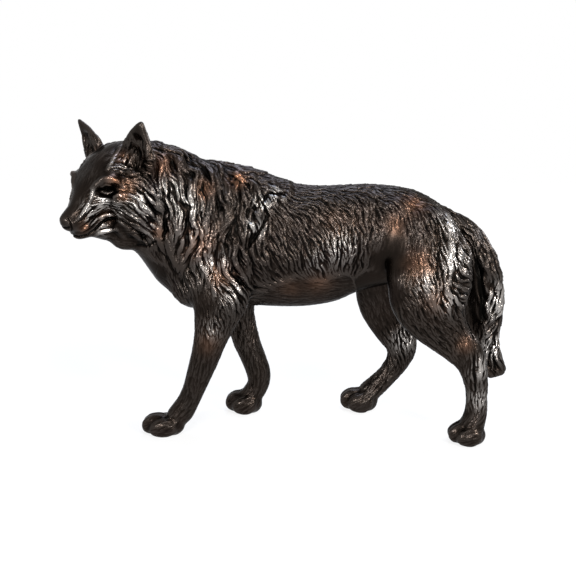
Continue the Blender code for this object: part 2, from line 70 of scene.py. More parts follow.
def linear(colour: str) -> tuple[float, float, float, float]:
    """Turn an sRGB hex colour into the linear colour that a shader takes.

    Args:
        colour: six hex digits after a hash mark.

    Returns:
        Red, green, blue and an alpha of 1.
    """
    parts = [int(colour[i:i + 2], 16) / 255 for i in (1, 3, 5)]
    made = [c / 12.92 if c <= 0.04045 else ((c + 0.055) / 1.055) ** 2.4 for c in parts]
    return (made[0], made[1], made[2], 1.0)


def unit(rows: np.ndarray) -> np.ndarray:
    """Scale each row of an array to a length of 1.

    Args:
        rows: vectors, one a row.

    Returns:
        The same directions, one long.
    """
    return rows / np.maximum(np.linalg.norm(rows, axis=-1, keepdims=True), 1e-12)


def cross(a: np.ndarray, b: np.ndarray) -> np.ndarray:
    """Give the cross product of the vectors in two arrays, row by row."""
    x = a[..., 1] * b[..., 2] - a[..., 2] * b[..., 1]
    y = a[..., 2] * b[..., 0] - a[..., 0] * b[..., 2]
    z = a[..., 0] * b[..., 1] - a[..., 1] * b[..., 0]
    return np.stack((x, y, z), -1)


def node(tree: bpy.types.NodeTree, kind: str, settings: dict, links: dict) -> bpy.types.Node:
    """Add a node with its settings and its links.

    Args:
        tree: the node tree.
        kind: the node's type.
        settings: properties by name, and input values by number or name.
        links: outputs that feed its inputs, by number or name.

    Returns:
        The new node.
    """
    made = tree.nodes.new(kind)
    for name, value in settings.items():
        if isinstance(name, int) or name in made.inputs:
            made.inputs[name].default_value = value
        else:
            setattr(made, name, value)
    for name, output in links.items():
        tree.links.new(output, made.inputs[name])
    return made


def stand(name: str, data: bpy.types.ID) -> bpy.types.Object:
    """Put an object that holds some data into the scene, at the origin."""
    made = bpy.data.objects.new(name, data)
    bpy.context.scene.collection.objects.link(made)
    return made


def work(thing: bpy.types.Object, kind: str, **settings: float | str | bool) -> None:
    """Add a modifier of a kind, with its settings, to an object."""
    made = thing.modifiers.new(kind.lower(), kind)
    for name, value in settings.items():
        setattr(made, name, value)


def vectors(rows: bpy.types.bpy_prop_collection, name: str) -> np.ndarray:
    """Read one vector from each row of a mesh's data."""
    made = np.empty(len(rows) * 3, np.float32)
    rows.foreach_get(name, made)
    return made.reshape(-1, 3).astype(float)


def looked_at(tree: bpy.types.NodeTree) -> bpy.types.NodeSocket:
    """Give 1 for the camera's, glossy and transmission rays, and 0 for what lights the statue."""
    path = node(tree, "ShaderNodeLightPath", {}, {}).outputs
    most = {"operation": "MAXIMUM"}
    rays = {0: path["Is Camera Ray"], 1: path["Is Glossy Ray"]}
    seen = node(tree, "ShaderNodeMath", most, rays).outputs[0]
    rays = {0: seen, 1: path["Is Transmission Ray"]}
    return node(tree, "ShaderNodeMath", most, rays).outputs[0]


class Coat(Enum):
    """Kinds of coat: length, width and height of a lock, and height of a hair, in mm."""

    LONG = (52.0, 11.0, 4.6, 1.3)
    RUFF = (34.0, 8.0, 3.4, 1.3)
    BRUSH = (30.0, 6.6, 2.8, 1.3)
    SHORT = (20.0, 4.5, 1.8, 1.2)
    FINE = (15.0, 4.2, 1.0, 0.9)
    SLEEK = (15.0, 4.4, 0.3, 0.4)
    BARE = (12.0, 3.6, 0.0, 0.0)


class Side(Enum):
    """What a guide or a stroke is mirrored about, to reach the side that isn't seen."""

    TRUNK = "trunk"
    HEAD = "head"
    ALONE = "alone"


@dataclass(frozen=True)
class Guide:
    """How the coat lies at one place: where in the photograph, which way, and what coat."""

    at: Pixel
    lie: Pixel
    coat: Coat
    side: Side = Side.TRUNK


@dataclass(frozen=True)
class Stroke:
    """One cut or raised line of the carver: its points in the photograph, width and height."""

    points: Line
    width: float
    height: float
    side: Side = Side.HEAD


@dataclass(frozen=True)
class Swell:
    """A rounded mass on the form: its place, its lie in the photograph, and sizes in mm."""

    at: Pixel | Place
    lie: Pixel
    long: float
    wide: float
    thick: float
    sunk: float
    side: Side = Side.HEAD


@dataclass(frozen=True)
class Hollow:
    """A soft hollow pressed into the form: its place, and sizes in mm."""

    at: Pixel | Place
    radius: float
    depth: float
    side: Side = Side.HEAD


@dataclass(frozen=True)
class Blend:
    """A place where a hard crease of the casting is worked soft."""

    at: Pixel | Place
    radius: float
    side: Side = Side.HEAD


@dataclass(frozen=True)
class RubAndHighlight:
    """A place where hands and weather have rubbed the patina, or where the hair's crests take a painted
    highlight.
    """

    at: Pixel
    radius: float
    strength: float = 1.0
    side: Side = Side.TRUNK


@dataclass(frozen=True)
class PhotoCamera:
    """The camera at the photograph's viewing angle, and rays through its pixels."""

    distance: float = 1.5
    elevation: float = 14.0
    azimuth: float = 2.5
    lens: float = 58.6
    sensor: float = 36.0
    aim: tuple[float, float, float] = (-0.0068, 0.0061, 0.231)

    def axes(self) -> tuple[np.ndarray, np.ndarray, np.ndarray, np.ndarray]:
        """Give the camera's place and its forward, right and up directions."""
        e, a = math.radians(self.elevation), math.radians(self.azimuth)
        back = np.array([math.sin(a) * math.cos(e), -math.cos(a) * math.cos(e), math.sin(e)])
        right = unit(np.cross(-back, (0.0, 0.0, 1.0)))
        return np.array(self.aim) + back * self.distance, -back, right, np.cross(right, -back)

    def ray(self, pixel: Pixel) -> np.ndarray:
        """Give the direction in which the camera sees a pixel of the photograph."""
        _, forward, right, up = self.axes()
        scale = self.sensor / self.lens / PHOTO_SIDE
        across = (pixel[0] - PHOTO_SIDE / 2) * scale
        down = (pixel[1] - PHOTO_SIDE / 2) * scale
        return unit(forward + right * across - up * down)

    def lay(self, direction: Pixel) -> np.ndarray:
        """Turn a direction in the photograph, x right and y down, into one in space."""
        _, _, right, up = self.axes()
        return unit(right * direction[0] - up * direction[1])

    def build(self) -> None:
        """Make the camera and set it as the scene's own."""
        data = bpy.data.cameras.new("photo_camera")
        data.lens, data.sensor_width = self.lens, self.sensor
        camera = stand("photo_camera", data)
        place, forward, _, _ = self.axes()
        camera.location = place
        camera.rotation_euler = Vector(forward).to_track_quat("-Z", "Y").to_euler()
        bpy.context.scene.camera = camera


@dataclass(frozen=True)
class Mirror:
    """A plane that the far side of the coat is mirrored about."""

    point: tuple[float, float, float]
    normal: tuple[float, float, float]

    def place(self, rows: np.ndarray) -> np.ndarray:
        """Reflect places in the plane."""
        n = np.array(self.normal)
        return rows - 2 * ((rows - np.array(self.point)) @ n)[..., None] * n

    def turn(self, rows: np.ndarray) -> np.ndarray:
        """Reflect directions in the plane."""
        n = np.array(self.normal)
        return rows - 2 * (rows @ n)[..., None] * n


# The head looks to the animal's left, so its middle plane is turned from the trunk's
HEAD_TURN = math.radians(52.0)
HEAD_MIDDLE = (-0.3008, -0.0489, 0.401)
TRUNK_MIDDLE = (0.0, 0.0061, 0.0)
MIRRORS = {
    Side.TRUNK: Mirror(TRUNK_MIDDLE, (0.0, 1.0, 0.0)),
    Side.HEAD: Mirror(HEAD_MIDDLE, (math.sin(HEAD_TURN), -math.cos(HEAD_TURN), 0.0)),
}


def on(side: Side, *marks: Mark) -> tuple[Mark, ...]:
    """Say once, for several guides, strokes, rubbed places or painted highlights, what they are mirrored
    about.
    """
    return tuple(replace(mark, side=side) for mark in marks)


# How the coat lies, by place in the photograph; y runs down there, as the pixels do
HEAD_GUIDES = on(
    Side.HEAD,
    Guide((66, 212), (0.3, -1.0), Coat.BARE),
    Guide((76, 198), (0.3, -1.0), Coat.BARE),
    Guide((84, 178), (0.5, -1.0), Coat.SLEEK),
    Guide((92, 164), (0.6, -1.0), Coat.SLEEK),
    Guide((108, 156), (1.0, -0.4), Coat.SLEEK),
    Guide((96, 152), (0.6, -1.0), Coat.BARE),
    Guide((98, 172), (0.6, -1.0), Coat.BARE),
    Guide((82, 168), (0.4, -1.0), Coat.BARE),
    Guide((84, 214), (0.9, -0.6), Coat.FINE),
    Guide((76, 234), (1.0, 0.2), Coat.BARE),
    Guide((98, 206), (1.0, -0.1), Coat.FINE),
    Guide((108, 190), (1.0, 0.1), Coat.BARE),
    Guide((100, 192), (1.0, 0.1), Coat.BARE),
    Guide((109, 198), (1.0, 0.1), Coat.BARE),
    Guide((112, 177), (1.0, 0.2), Coat.SLEEK),
    Guide((120, 190), (1.0, 0.3), Coat.SLEEK),
    Guide((88, 226), (1.0, -0.4), Coat.SLEEK),
    Guide((108, 222), (1.0, 0.0), Coat.BARE),
    Guide((106, 234), (1.0, 0.3), Coat.SLEEK),
    Guide((118, 240), (1.0, 0.5), Coat.SLEEK),
    Guide((110, 205), (0.9, 0.35), Coat.SHORT),
    Guide((122, 198), (0.8, 0.45), Coat.SHORT),
    Guide((118, 216), (0.9, 0.4), Coat.SHORT),
    Guide((134, 226), (0.85, 0.6), Coat.RUFF),
    Guide((132, 206), (0.8, 0.5), Coat.RUFF),
    Guide((146, 218), (0.8, 0.6), Coat.RUFF),
    Guide((128, 186), (0.9, 0.4), Coat.SHORT),
    Guide((142, 194), (0.75, 0.65), Coat.RUFF),
    Guide((154, 206), (0.7, 0.8), Coat.RUFF),
    Guide((106, 168), (0.9, -0.15), Coat.FINE),
    Guide((120, 168), (1.0, -0.1), Coat.SHORT),
    Guide((134, 176), (0.9, 0.3), Coat.SHORT),
    Guide((122, 152), (0.35, -1.0), Coat.SHORT),
    Guide((134, 160), (0.1, -1.0), Coat.FINE),
    Guide((139, 138), (0.1, -1.0), Coat.BARE),
    Guide((97, 140), (-0.3, -1.0), Coat.SLEEK),
)
MANE_GUIDES = (
    Guide((160, 155), (0.5, 0.8), Coat.LONG),
    Guide((158, 180), (0.35, 1.0), Coat.LONG),
    Guide((172, 150), (0.8, 0.5), Coat.LONG),
    Guide((172, 170), (0.35, 1.0), Coat.LONG),
    Guide((176, 195), (0.1, 1.0), Coat.LONG),
    Guide((172, 220), (-0.2, 1.0), Coat.LONG),
    Guide((160, 250), (0.1, 1.0), Coat.SHORT),
    Guide((150, 262), (0.5, 0.8), Coat.BARE),
    Guide((190, 160), (0.6, 0.8), Coat.LONG),
    Guide((194, 185), (-0.15, 1.0), Coat.LONG),
    Guide((196, 215), (0.1, 1.0), Coat.LONG),
    Guide((186, 240), (-0.35, 1.0), Coat.LONG),
    Guide((178, 275), (0.1, 1.0), Coat.SHORT),
    Guide((206, 262), (0.0, 1.0), Coat.SHORT),
    Guide((212, 172), (0.6, 0.8), Coat.LONG),
    Guide((214, 195), (0.15, 1.0), Coat.RUFF),
    Guide((214, 225), (0.0, 1.0), Coat.RUFF),
    Guide((222, 250), (0.2, 1.0), Coat.RUFF),
    Guide((232, 285), (0.55, 0.9), Coat.RUFF),
    Guide((236, 172), (0.9, 0.4), Coat.RUFF),
    Guide((244, 192), (0.3, 1.0), Coat.RUFF),
    Guide((252, 210), (0.1, 1.0), Coat.RUFF),
    Guide((240, 235), (0.15, 1.0), Coat.RUFF),
    Guide((248, 262), (0.4, 1.0), Coat.SHORT),
    Guide((200, 295), (0.1, 1.0), Coat.SLEEK),
)
FLANK_GUIDES = (
    Guide((262, 178), (0.9, 0.35), Coat.SHORT),
    Guide((300, 188), (1.0, 0.25), Coat.SHORT),
    Guide((350, 188), (1.0, 0.2), Coat.SHORT),
    Guide((275, 205), (0.7, 0.75), Coat.SHORT),
    Guide((310, 205), (0.75, 0.7), Coat.SHORT),
    Guide((350, 205), (0.6, 0.85), Coat.SHORT),
    Guide((270, 240), (0.4, 1.0), Coat.SHORT),
    Guide((310, 235), (0.5, 0.95), Coat.SHORT),
    Guide((345, 240), (0.1, 1.0), Coat.SHORT),
    Guide((370, 220), (0.15, 1.0), Coat.SHORT),
    Guide((275, 266), (0.3, 1.0), Coat.SHORT),
    Guide((320, 263), (0.2, 1.0), Coat.SHORT),
    Guide((360, 258), (0.0, 1.0), Coat.SHORT),
    Guide((300, 252), (0.35, 1.0), Coat.SHORT),
    Guide((340, 250), (0.1, 1.0), Coat.SHORT),
    Guide((290, 288), (1.0, 0.2), Coat.SLEEK),
    Guide((335, 286), (1.0, 0.0), Coat.SLEEK),
    Guide((270, 298), (1.0, 0.1), Coat.SLEEK),
    Guide((320, 300), (1.0, 0.1), Coat.SLEEK),
    Guide((386, 256), (-0.3, 1.0), Coat.BARE),
    Guide((372, 276), (-0.5, 0.8), Coat.BARE),
    Guide((399, 258), (0.0, 1.0), Coat.BARE),
    Guide((392, 286), (0.0, 1.0), Coat.BARE),
    Guide((388, 200), (0.7, 0.7), Coat.SHORT),
    Guide((399, 230), (0.0, 1.0), Coat.BARE),
)
HIND_GUIDES = (
    Guide((420, 198), (0.9, 0.5), Coat.SHORT),
    Guide((415, 225), (0.3, 1.0), Coat.SHORT),
    Guide((440, 215), (0.7, 0.8), Coat.SHORT),
    Guide((430, 250), (0.15, 1.0), Coat.SHORT),
    Guide((450, 245), (0.3, 1.0), Coat.BRUSH),
    Guide((465, 262), (0.9, 0.5), Coat.BRUSH),
    Guide((462, 290), (0.9, 0.3), Coat.BRUSH),
    Guide((432, 285), (0.25, 1.0), Coat.SHORT),
    Guide((450, 305), (0.5, 0.9), Coat.SHORT),
    Guide((410, 270), (0.15, 1.0), Coat.FINE),
    Guide((410, 300), (0.4, 0.9), Coat.FINE),
    Guide((430, 318), (0.5, 0.8), Coat.FINE),
    Guide((385, 300), (0.3, 1.0), Coat.SLEEK),
    Guide((446, 225), (0.2, 1.0), Coat.BRUSH),
    Guide((446, 270), (0.1, 1.0), Coat.BRUSH),
)
TAIL_GUIDES = (
    Guide((470, 222), (0.7, 0.8), Coat.BRUSH),
    Guide((484, 238), (0.6, 0.9), Coat.BRUSH),
    Guide((494, 262), (0.3, 1.0), Coat.BRUSH),
    Guide((478, 266), (0.3, 1.0), Coat.BARE),
    Guide((483, 285), (0.0, 1.0), Coat.BARE),
    Guide((482, 310), (-0.1, 1.0), Coat.BARE),
    Guide((499, 290), (-0.25, 1.0), Coat.BRUSH),
    Guide((494, 318), (-0.4, 1.0), Coat.BRUSH),
    Guide((492, 340), (-0.15, 1.0), Coat.BRUSH),
    Guide((495, 362), (0.15, 1.0), Coat.BRUSH),
)
LEG_GUIDES = on(
    Side.ALONE,
    Guide((208, 322), (0.0, 1.0), Coat.FINE),
    Guide((205, 350), (-0.2, 1.0), Coat.SLEEK),
    Guide((192, 385), (-0.2, 1.0), Coat.SLEEK),
    Guide((176, 410), (-0.7, 1.0), Coat.SLEEK),
    Guide((160, 424), (-1.0, 0.4), Coat.SLEEK),
    Guide((243, 325), (0.1, 1.0), Coat.FINE),
    Guide((255, 360), (0.1, 1.0), Coat.SLEEK),
    Guide((256, 385), (-0.2, 1.0), Coat.SLEEK),
    Guide((245, 402), (-1.0, 0.4), Coat.SLEEK),
    Guide((375, 315), (0.3, 1.0), Coat.SLEEK),
    Guide((398, 338), (0.4, 1.0), Coat.SHORT),
    Guide((404, 352), (0.3, 1.0), Coat.FINE),
    Guide((385, 378), (-0.6, 1.0), Coat.FINE),
    Guide((356, 400), (-1.0, 0.4), Coat.SLEEK),
    Guide((452, 335), (0.6, 0.8), Coat.FINE),
    Guide((468, 355), (0.2, 1.0), Coat.SLEEK),
    Guide((480, 365), (0.1, 1.0), Coat.FINE),
    Guide((480, 395), (0.0, 1.0), Coat.FINE),
    Guide((470, 400), (0.0, 1.0), Coat.SLEEK),
    Guide((466, 432), (-1.0, 0.4), Coat.SLEEK),
)
GUIDES = HEAD_GUIDES + MANE_GUIDES + FLANK_GUIDES + HIND_GUIDES + TAIL_GUIDES + LEG_GUIDES

# Forms of the face, the far side of the neck and the groin, worked before the coat is carved
BLENDS = (
    Blend((-0.262, 0.055, 0.38), 52.0, Side.ALONE),
    Blend((-0.285, 0.045, 0.345), 36.0, Side.ALONE),
    Blend((112, 212), 13.0),
    Blend((108, 204), 9.0),
    Blend((136, 171), 9.0),
    Blend((113, 221), 8.0),
    Blend((392, 250), 22.0, Side.TRUNK),
    Blend((391, 275), 26.0, Side.TRUNK),
    Blend((394, 292), 20.0, Side.TRUNK),
    Blend((400, 228), 18.0, Side.TRUNK),
)
HOLLOWS = (
    Hollow((-0.237, 0.090, 0.385), 36.0, 13.0, Side.ALONE),
    Hollow((110, 191.5), 10.5, 13.0),
    Hollow((101, 192), 6.5, 8.0),
    Hollow((108, 221), 5.0, 3.5),
    Hollow((140, 142), 8.0, 5.0),
    Hollow((139, 154), 9.0, 5.0),
    Hollow((84, 168), 18.0, 3.0, Side.ALONE),
)
SWELLS = (
    Swell((-0.287, 0.026, 0.375), (1.0, 0.0), 50.0, 44.0, 34.0, 0.0, Side.ALONE),
    Swell((110, 208), (1.0, 0.05), 19.0, 9.0, 9.0, 6.0),
    Swell((112, 214), (1.0, -0.05), 13.0, 6.0, 8.0, 5.0),
    Swell((86, 227), (1.0, -0.3), 11.0, 5.5, 7.0, 4.4),
    Swell((108, 188.5), (1.0, 0.0), 6.0, 5.5, 7.0, 13.0),
    Swell((397, 276), (0.2, 1.0), 44.0, 26.0, 14.0, 13.0, Side.TRUNK),
    Swell((390, 256), (0.0, 1.0), 34.0, 20.0, 13.0, 11.0, Side.TRUNK),
)

# Places rubbed to copper brown
RUBS = on(
    Side.HEAD,
    RubAndHighlight((114, 180), 9.0, 1.0),
    RubAndHighlight((124, 194), 9.0, 1.0),
    RubAndHighlight((86, 228), 8.0, 1.0),
    RubAndHighlight((104, 214), 12.0, 0.8),
    RubAndHighlight((130, 186), 14.0, 0.5),
    RubAndHighlight((122, 158), 10.0, 0.8),
) + on(
    Side.TRUNK,
    RubAndHighlight((160, 165), 18.0, 0.6),
    RubAndHighlight((158, 232), 10.0, 0.8),
    RubAndHighlight((204, 190), 14.0, 0.8),
    RubAndHighlight((238, 180), 12.0, 1.3),
    RubAndHighlight((200, 240), 22.0, 0.8),
    RubAndHighlight((222, 275), 18.0, 0.8),
    RubAndHighlight((318, 284), 20.0, 0.35),
    RubAndHighlight((290, 288), 16.0, 0.3),
    RubAndHighlight((340, 222), 26.0, 0.15),
    RubAndHighlight((415, 205), 16.0, 0.9),
    RubAndHighlight((418, 265), 20.0, 0.8),
    RubAndHighlight((440, 300), 18.0, 0.5),
    RubAndHighlight((395, 225), 14.0, 0.5),
) + on(
    Side.ALONE,
    RubAndHighlight((208, 345), 18.0, 0.4),
    RubAndHighlight((466, 345), 12.0, 0.5),
)

# Painted highlights: places where the crests of the hair, and the eye's glint, are painted pale where
# highlights fall
PAINTED_HIGHLIGHTS = on(
    Side.HEAD,
    RubAndHighlight((108, 213), 14.0, 3.0),
    RubAndHighlight((104, 206), 10.0, 2.6),
    RubAndHighlight((117, 207), 9.0, 2.0),
    RubAndHighlight((88, 212), 9.0, 2.6),
    RubAndHighlight((108, 188.5), 3.5, 0.8),
    RubAndHighlight((94, 216), 11.0, 2.4),
    RubAndHighlight((104, 232), 8.0, 1.6),
    RubAndHighlight((124, 193), 8.0, 0.7),
    RubAndHighlight((112, 180), 6.0, 0.3),
    RubAndHighlight((93, 194), 6.0, 0.9),
    RubAndHighlight((140, 204), 17.0, 1.2),
    RubAndHighlight((152, 228), 12.0, 0.8),
    RubAndHighlight((120, 162), 12.0, 0.8),
) + on(
    Side.TRUNK,
    RubAndHighlight((186, 205), 22.0, 0.8),
    RubAndHighlight((168, 190), 14.0, 0.7),
    RubAndHighlight((194, 236), 20.0, 0.8),
    RubAndHighlight((214, 264), 20.0, 0.8),
    RubAndHighlight((230, 290), 18.0, 0.9),
    RubAndHighlight((263, 203), 10.0, 1.2),
    RubAndHighlight((256, 227), 11.0, 1.2),
    RubAndHighlight((276, 194), 10.0, 0.9),
    RubAndHighlight((340, 248), 23.0, 0.6),
    RubAndHighlight((318, 262), 16.0, 0.4),
    RubAndHighlight((449, 222), 17.0, 1.3),
    RubAndHighlight((452, 260), 20.0, 1.3),
    RubAndHighlight((449, 300), 17.0, 1.1),
    RubAndHighlight((424, 285), 14.0, 0.6),
) + on(
    Side.ALONE,
    RubAndHighlight((498, 258), 18.0, 2.4),
    RubAndHighlight((501, 300), 22.0, 2.4),
    RubAndHighlight((495, 345), 18.0, 1.6),
    RubAndHighlight((481, 368), 15.0, 1.3),
    RubAndHighlight((480, 400), 14.0, 1.0),
    RubAndHighlight((404, 340), 16.0, 1.3),
    RubAndHighlight((212, 330), 14.0, 0.5),
)

# Lines that the carver cut or raised one by one; widths and heights in millimetres
FACE_STROKES = (
    Stroke(((91, 191), (97, 184), (103, 179), (110, 178), (118, 182), (127, 190)), 9.0, 4.2),
    Stroke(((112, 198), (119, 194), (127, 196)), 8.0, 2.6),
    Stroke(((94, 186), (92, 196), (88, 206), (81, 216), (73, 223)), 5.5, 2.6),
    Stroke(((100, 188), (106, 184.5), (113, 186)), 3.0, 1.8),
    Stroke(((100, 191), (107, 193.5), (115, 191)), 3.0, 1.5),
    Stroke(((60, 225), (64, 228), (68, 228), (71, 226)), 3.4, -2.4),
    Stroke(((67, 216), (70, 222), (72, 229), (71, 235)), 3.0, -1.4),
    Stroke(((74, 229), (82, 231), (90, 226), (97, 219), (106, 215), (116, 214)), 5.0, 1.8),
    Stroke(((70, 234), (79, 237), (88, 235), (95, 230), (101, 223), (108, 219), (120, 218)), 4.0, -3.4),
    Stroke(((92, 237), (99, 233), (107, 231), (120, 229)), 6.0, 2.6),
    Stroke(((79, 228), (86, 224), (94, 217), (104, 211)), 3.0, -0.8),
    Stroke(((88, 222), (96, 214), (106, 208)), 3.0, -0.8),
    Stroke(((84, 219), (90, 211), (98, 205)), 3.0, -0.8),
    Stroke(((105, 172), (112, 162), (119, 150), (124, 140)), 7.0, 1.8),
    Stroke(((124, 166), (126, 156), (129, 146), (133, 134)), 4.0, 1.8),
)
RUFF_STROKES = (
    Stroke(((160, 196), (167, 208), (164, 220), (166, 230), (160, 240)), 8.0, -4.0),
    Stroke(((158, 240), (148, 246), (134, 245)), 6.0, -2.2),
    Stroke(((140, 172), (150, 182), (160, 196)), 6.0, -2.4),
    Stroke(((124, 178), (138, 182), (152, 193), (164, 210)), 5.5, 3.0),
    Stroke(((132, 187), (143, 194), (152, 206), (158, 219)), 4.5, -3.2),
    Stroke(((124, 192), (137, 198), (149, 210), (160, 226)), 5.5, 2.6),
    Stroke(((122, 202), (134, 210), (146, 221), (154, 230)), 4.2, -2.8),
    Stroke(((120, 208), (133, 216), (146, 226), (158, 235)), 5.5, 2.6),
    Stroke(((118, 218), (130, 226), (142, 234), (150, 239)), 4.2, -2.4),
)
CAPE_EDGE = ((292, 195), (268, 193), (263, 203), (268, 215), (261, 229), (247, 249), (252, 262))
CAPE_STROKES = on(
    Side.TRUNK,
    Stroke(CAPE_EDGE, 6.0, -2.6),
    Stroke(((248, 178), (256, 186), (261, 196)), 6.0, 2.4),
    Stroke(((245, 190), (252, 199), (259, 208)), 6.0, 2.4),
    Stroke(((262, 182), (272, 188), (286, 193)), 6.0, 2.2),
    Stroke(((248, 205), (255, 213), (262, 217)), 5.5, 2.2),
    Stroke(((244, 216), (250, 224), (256, 228)), 5.5, 2.2),
    Stroke(((238, 226), (243, 236), (245, 246)), 5.5, 2.2),
    Stroke(((236, 240), (242, 250), (250, 259)), 5.5, 2.0),
    Stroke(((231, 184), (234, 178), (240, 176), (244, 180), (241, 185)), 4.0, 1.6),
)
HIND_STROKES = on(
    Side.TRUNK,
    Stroke(((447, 210), (451, 240), (451, 270), (447, 300)), 13.0, 3.2),
    Stroke(((435, 212), (438, 250), (438, 290)), 13.0, -1.8),
    Stroke(((421, 232), (424, 260), (429, 290), (438, 312)), 12.0, 2.6),
) + on(
    Side.ALONE,
    Stroke(((474, 248), (480, 275), (483, 300), (482, 326)), 10.0, -3.0),
    Stroke(((460, 318), (465, 330), (470, 340), (474, 348)), 3.4, 2.6),
    Stroke(((466, 322), (471, 332), (475, 341)), 5.0, -2.4),
    Stroke(((474, 352), (474, 372), (476, 396)), 4.0, -1.2),
    Stroke(((480, 352), (481, 372), (482, 398)), 5.0, 1.0),
)
STROKES = FACE_STROKES + RUFF_STROKES + CAPE_STROKES + HIND_STROKES


@dataclass
class Surface:
    """The fine mesh of the casting as arrays, with ways to find places on it."""

    points: np.ndarray
    normals: np.ndarray
    tree: KDTree = field(repr=False)
    bvh: BVHTree = field(repr=False)

    @classmethod
    def of(cls, mesh: bpy.types.Mesh) -> "Surface":
        """Read a mesh into arrays and build the trees that find places on it."""
        points = vectors(mesh.vertices, "co")
        tree = KDTree(len(points))
        for index, place in enumerate(points):
            tree.insert(place, index)
        tree.balance()
        shape = bmesh.new()
        shape.from_mesh(mesh)
        bvh = BVHTree.FromBMesh(shape)
        shape.free()
        return cls(points, unit(vectors(mesh.vertex_normals, "vector")), tree, bvh)

    def seen(self, camera: PhotoCamera, pixel: Pixel) -> Optional[np.ndarray]:
        """Find the place on the surface that the camera sees at a pixel, if there is one."""
        hit = self.bvh.ray_cast(Vector(camera.axes()[0]), Vector(camera.ray(pixel)))
        return None if hit[0] is None else np.array(hit[0])

    def nearest(self, places: np.ndarray) -> np.ndarray:
        """Give the index of the vertex that is nearest to each place."""
        find = self.tree.find
        return np.fromiter((find(place)[1] for place in places.tolist()), int, len(places))

    def around(self, places: np.ndarray, radius: np.ndarray) -> tuple[np.ndarray, np.ndarray]:
        """Find the vertices within a distance of each place.

        Args:
            places: the places.
            radius: how far to look from each.

        Returns:
            For each pair found, the number of its place and the index of its vertex.
        """
        find = self.tree.find_range
        found = [[hit[1] for hit in find(p, r)] for p, r in zip(places.tolist(), radius.tolist())]
        counts = np.fromiter(map(len, found), int, len(found))
        index = np.fromiter((i for hits in found for i in hits), int, counts.sum())
        return np.repeat(np.arange(len(found)), counts), index


